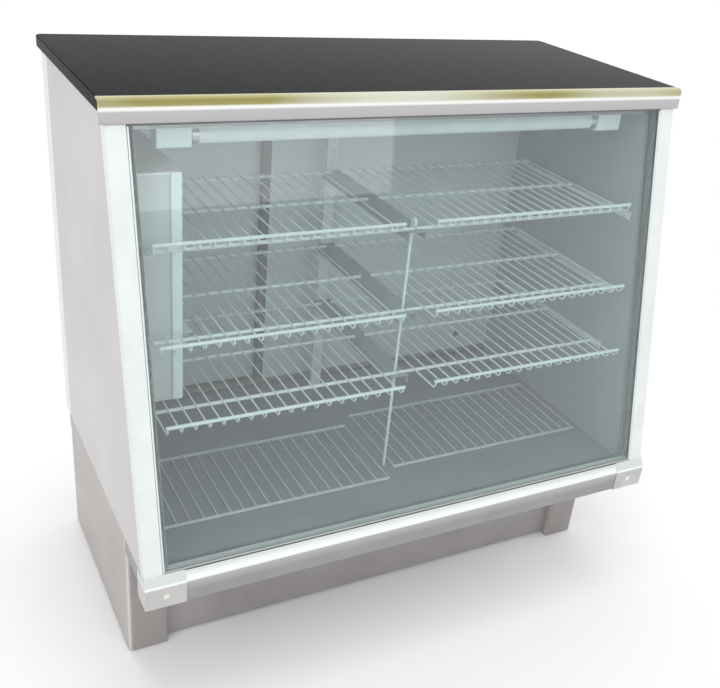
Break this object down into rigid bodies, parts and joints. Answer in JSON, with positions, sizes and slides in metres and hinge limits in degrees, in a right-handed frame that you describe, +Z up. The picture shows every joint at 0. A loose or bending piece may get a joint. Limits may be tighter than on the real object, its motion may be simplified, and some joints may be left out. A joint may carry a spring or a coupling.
{
  "type": "refrigerated display counter",
  "caption": "Glass-fronted display counter with a leaning front pane, black stone top, wire shelves, sliding rear doors and a cooling unit in the plinth.",
  "frame": {"origin": "on the floor, under the middle of the counter's outline in plan", "axes": "+X runs along the counter to the right of a customer who faces the glass, +Y from the glass to the rear doors, +Z up"},
  "size_m": [1.2, 0.682, 1.15],
  "materials": {
    "black_stone": "polished",
    "bright_steel": "polished",
    "white_panel": "satin",
    "white_profile": "satin",
    "clear_glass": "polished",
    "grey_aluminium": "satin",
    "grey_paint": "satin",
    "frame_paint": "satin",
    "white_paint": "satin",
    "cap_plastic": "satin",
    "zinc": "satin",
    "black_plastic": "matte",
    "black_paint": "satin",
    "copper": "satin",
    "fin_aluminium": "satin",
    "white_wire": "gloss",
    "lamp_white": "gloss",
    "dark_seal": "matte",
    "switch_red": "gloss"
  },
  "bodies": {
    "cabinet": {"counter_top": "black_stone", "front_trim": "bright_steel", "head_rail": "grey_aluminium", "ceiling_panel": "white_panel", "floor_pan": "white_panel", "side_wall_right": "white_panel", "side_wall_left": "white_panel", "front_post_right": "white_profile", "front_post_left": "white_profile", "glass_outer": "clear_glass", "glass_spacer": "dark_seal", "glass_inner": "clear_glass", "bumper_rail": "white_profile", "bumper_caps": "cap_plastic", "case_screws": "zinc", "base_side_right": "grey_paint", "base_side_left": "grey_paint", "kick_plate": "grey_paint", "base_frame": "frame_paint", "levelling_feet": "zinc", "rear_grille": "grey_paint", "control_panel": "grey_paint", "cord_gland": "black_plastic", "unit_tray": "zinc", "compressor": "black_paint", "condenser_coil": "fin_aluminium", "condenser_fan_shroud": "black_paint", "condenser_fan_motor": "black_paint", "refrigerant_pipes": "copper", "door_track_bottom": "grey_aluminium", "door_track_top": "grey_aluminium", "door_jamb_right": "white_profile", "door_jamb_left": "white_profile", "lamp_batten": "white_paint", "lamp_holders": "cap_plastic", "shelf_1_right": "white_wire", "shelf_1_left": "white_wire", "shelf_2_right": "white_wire", "shelf_2_left": "white_wire", "shelf_3_right": "white_wire", "shelf_3_left": "white_wire", "floor_rack_right": "white_wire", "floor_rack_left": "white_wire", "wall_rails": "white_paint", "centre_rails": "grey_aluminium", "centre_rod": "white_wire", "centre_upright": "white_paint", "evaporator_cover": "white_paint", "evaporator_coil": "fin_aluminium", "evaporator_fan_motors": "black_paint"},
    "rear_door_right": {"door_right_panel": "white_panel", "door_right_edge": "dark_seal"},
    "rear_door_left": {"door_left_panel": "white_panel", "door_left_edge": "dark_seal"},
    "condenser_fan": {"condenser_fan_blades": "grey_aluminium"},
    "evaporator_fan_top": {"evaporator_fan_upper": "black_plastic"},
    "evaporator_fan_bottom": {"evaporator_fan_lower": "black_plastic"},
    "thermostat_dial": {"thermostat_knob": "black_plastic"},
    "light_rocker": {"light_switch": "switch_red"},
    "lamp": {"lamp_tube": "lamp_white"}
  },
  "joints": [
    {"name": "rear_door_right_slide", "type": "slide", "parent": "cabinet", "child": "rear_door_right", "axis": [-1, 0, 0], "range_m": [0, 0.408]},
    {"name": "rear_door_left_slide", "type": "slide", "parent": "cabinet", "child": "rear_door_left", "axis": [1, 0, 0], "range_m": [0, 0.408]},
    {"name": "condenser_fan_spin", "type": "hinge", "parent": "cabinet", "child": "condenser_fan", "pos_m": [-0.03, 0.2125, 0.1465], "axis": [0, 1, 0], "continuous": true},
    {"name": "evaporator_fan_top_spin", "type": "hinge", "parent": "cabinet", "child": "evaporator_fan_top", "pos_m": [-0.4712, 0.052, 0.955], "axis": [1, 0, 0], "continuous": true},
    {"name": "evaporator_fan_bottom_spin", "type": "hinge", "parent": "cabinet", "child": "evaporator_fan_bottom", "pos_m": [-0.4712, 0.052, 0.803], "axis": [1, 0, 0], "continuous": true},
    {"name": "thermostat_turn", "type": "hinge", "parent": "cabinet", "child": "thermostat_dial", "pos_m": [0.4, 0.3212, 0.195], "axis": [0, -1, 0], "range_deg": [0, 270]},
    {"name": "light_switch_rock", "type": "hinge", "parent": "cabinet", "child": "light_rocker", "pos_m": [0.49, 0.3212, 0.195], "axis": [-1, 0, 0], "range_deg": [0, 16]},
    {"name": "lamp_twist", "type": "hinge", "parent": "cabinet", "child": "lamp", "pos_m": [0, -0.09498, 1.071], "axis": [1, 0, 0], "range_deg": [0, 90]}
  ]
}
